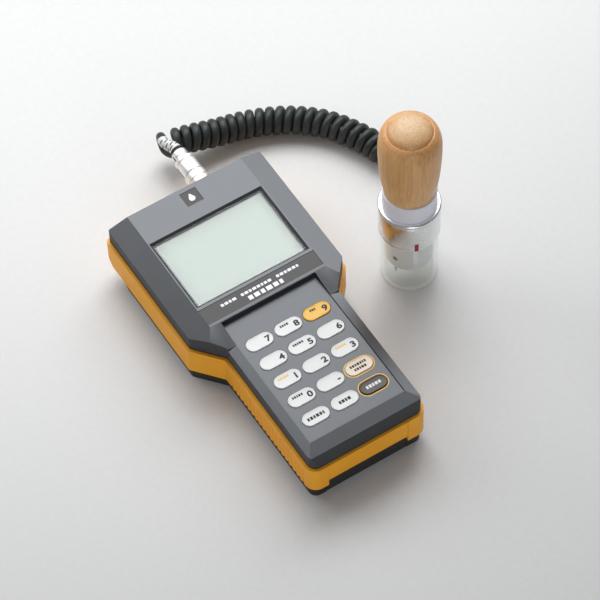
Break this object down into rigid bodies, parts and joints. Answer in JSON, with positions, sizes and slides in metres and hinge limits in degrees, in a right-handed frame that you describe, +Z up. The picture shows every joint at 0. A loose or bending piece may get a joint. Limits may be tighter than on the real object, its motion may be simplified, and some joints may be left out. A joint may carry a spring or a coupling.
{
  "type": "moisture meter",
  "caption": "Handheld meter with a display, a keypad and an orange band, joined by a curly cord to a wooden-handled pin probe that stands beside it.",
  "frame": {"origin": "middle of the meter's flat underside, on the surface it lies on", "axes": "+Z up, +Y from the handle to the display, +X to the user's right"},
  "size_m": [0.1918, 0.2638, 0.142],
  "materials": {
    "band_orange": "moulded elastomer, fine texture",
    "case_black": "fine texture",
    "cover_grey": "fine spark texture",
    "panel_grey": "satin film",
    "key_white": "satin",
    "key_orange": "satin",
    "key_cream": "satin",
    "key_dark": "satin",
    "lens_clear": "clear lens",
    "lcd_pale": "display",
    "plate_dark": "satin film",
    "board_green": "solder mask",
    "mat_rubber": "matte",
    "steel": "satin",
    "cell_jacket": "satin",
    "chrome": "polished",
    "gland_rubber": "matte",
    "sleeve_white": "satin",
    "wood_grip": "oiled maple",
    "collar_white": "satin",
    "mark_red": "enamel",
    "block_white": "machined",
    "screw_dark": "blackened",
    "brass_nut": "plain",
    "guard_clear": "clear acrylic",
    "cord_rubber": "matte"
  },
  "bodies": {
    "meter": {"side_band": "band_orange", "bottom_case": "case_black", "battery_tray": "case_black", "top_cover": "cover_grey", "keypad_panel": "panel_grey", "display_window": "lens_clear", "lcd_glass": "lcd_pale", "lcd_frame": "case_black", "label_strip": "plate_dark", "badge_plate": "plate_dark", "main_board": "board_green", "key_mat": "mat_rubber", "case_screws": "steel", "battery_cells": "cell_jacket", "battery_contacts": "steel", "buzzer": "case_black", "probe_socket": "chrome", "socket_nut": "steel", "plug_barrel": "chrome", "plug_gland_ring": "gland_rubber", "plug_strain_relief": "sleeve_white", "cord_plug_lead": "cord_rubber", "cord_coil": "cord_rubber"},
    "battery_door": {"battery_door": "band_orange", "battery_door_base": "case_black"},
    "coupling_ring": {"plug_coupling_ring": "chrome"},
    "probe": {"wooden_grip": "wood_grip", "grip_bolt": "steel", "grip_collar": "collar_white", "flange_ring": "chrome", "probe_housing": "chrome", "index_mark": "mark_red", "electrode_block": "block_white", "guide_pin": "steel", "clamp_screw": "screw_dark", "needles": "steel", "needle_nuts": "brass_nut", "guard_spring": "steel", "cable_gland": "gland_rubber", "cord_probe_lead": "cord_rubber"},
    "guard": {"clear_guard": "guard_clear"},
    "key_7": {"key_7": "key_white"},
    "key_8": {"key_8": "key_white"},
    "key_9": {"key_9": "key_orange"},
    "key_4": {"key_4": "key_white"},
    "key_5": {"key_5": "key_white"},
    "key_6": {"key_6": "key_white"},
    "key_1": {"key_1": "key_white"},
    "key_2": {"key_2": "key_white"},
    "key_3": {"key_3": "key_white"},
    "key_0": {"key_0": "key_white"},
    "key_minus": {"key_minus": "key_white"},
    "key_enter": {"key_enter": "key_cream"},
    "key_select": {"key_select": "key_white"},
    "key_offset": {"key_offset": "key_white"},
    "key_power": {"key_power": "key_dark"}
  },
  "joints": [
    {"name": "battery_door_slide", "type": "slide", "parent": "meter", "child": "battery_door", "axis": [0, -1, 0], "range_m": [0, 0.07]},
    {"name": "coupling_turn", "type": "hinge", "parent": "meter", "child": "coupling_ring", "pos_m": [0.0175, 0.112, 0.0234], "axis": [0, 1, 0], "range_deg": [0, 60]},
    {"name": "probe_lift", "type": "slide", "parent": "meter", "child": "probe", "axis": [0, 0, 1], "range_m": [0, 0.06]},
    {"name": "guard_slide", "type": "slide", "parent": "probe", "child": "guard", "axis": [0, 0, 1], "range_m": [0, 0.009], "stiffness_N_per_m": 250, "springref_m": -0.012, "deforming": ["guard_spring"]},
    {"name": "key_7_press", "type": "slide", "parent": "meter", "child": "key_7", "axis": [0, 0, -1], "range_m": [0, 0.0005], "stiffness_N_per_m": 600, "springref_m": -0.0012},
    {"name": "key_8_press", "type": "slide", "parent": "meter", "child": "key_8", "axis": [0, 0, -1], "range_m": [0, 0.0005], "stiffness_N_per_m": 600, "springref_m": -0.0012},
    {"name": "key_9_press", "type": "slide", "parent": "meter", "child": "key_9", "axis": [0, 0, -1], "range_m": [0, 0.0005], "stiffness_N_per_m": 600, "springref_m": -0.0012},
    {"name": "key_4_press", "type": "slide", "parent": "meter", "child": "key_4", "axis": [0, 0, -1], "range_m": [0, 0.0005], "stiffness_N_per_m": 600, "springref_m": -0.0012},
    {"name": "key_5_press", "type": "slide", "parent": "meter", "child": "key_5", "axis": [0, 0, -1], "range_m": [0, 0.0005], "stiffness_N_per_m": 600, "springref_m": -0.0012},
    {"name": "key_6_press", "type": "slide", "parent": "meter", "child": "key_6", "axis": [0, 0, -1], "range_m": [0, 0.0005], "stiffness_N_per_m": 600, "springref_m": -0.0012},
    {"name": "key_1_press", "type": "slide", "parent": "meter", "child": "key_1", "axis": [0, 0, -1], "range_m": [0, 0.0005], "stiffness_N_per_m": 600, "springref_m": -0.0012},
    {"name": "key_2_press", "type": "slide", "parent": "meter", "child": "key_2", "axis": [0, 0, -1], "range_m": [0, 0.0005], "stiffness_N_per_m": 600, "springref_m": -0.0012},
    {"name": "key_3_press", "type": "slide", "parent": "meter", "child": "key_3", "axis": [0, 0, -1], "range_m": [0, 0.0005], "stiffness_N_per_m": 600, "springref_m": -0.0012},
    {"name": "key_0_press", "type": "slide", "parent": "meter", "child": "key_0", "axis": [0, 0, -1], "range_m": [0, 0.0005], "stiffness_N_per_m": 600, "springref_m": -0.0012},
    {"name": "key_minus_press", "type": "slide", "parent": "meter", "child": "key_minus", "axis": [0, 0, -1], "range_m": [0, 0.0005], "stiffness_N_per_m": 600, "springref_m": -0.0012},
    {"name": "key_enter_press", "type": "slide", "parent": "meter", "child": "key_enter", "axis": [0, 0, -1], "range_m": [0, 0.0005], "stiffness_N_per_m": 600, "springref_m": -0.0012},
    {"name": "key_select_press", "type": "slide", "parent": "meter", "child": "key_select", "axis": [0, 0, -1], "range_m": [0, 0.0005], "stiffness_N_per_m": 600, "springref_m": -0.0012},
    {"name": "key_offset_press", "type": "slide", "parent": "meter", "child": "key_offset", "axis": [0, 0, -1], "range_m": [0, 0.0005], "stiffness_N_per_m": 600, "springref_m": -0.0012},
    {"name": "key_power_press", "type": "slide", "parent": "meter", "child": "key_power", "axis": [0, 0, -1], "range_m": [0, 0.0005], "stiffness_N_per_m": 600, "springref_m": -0.0012}
  ]
}
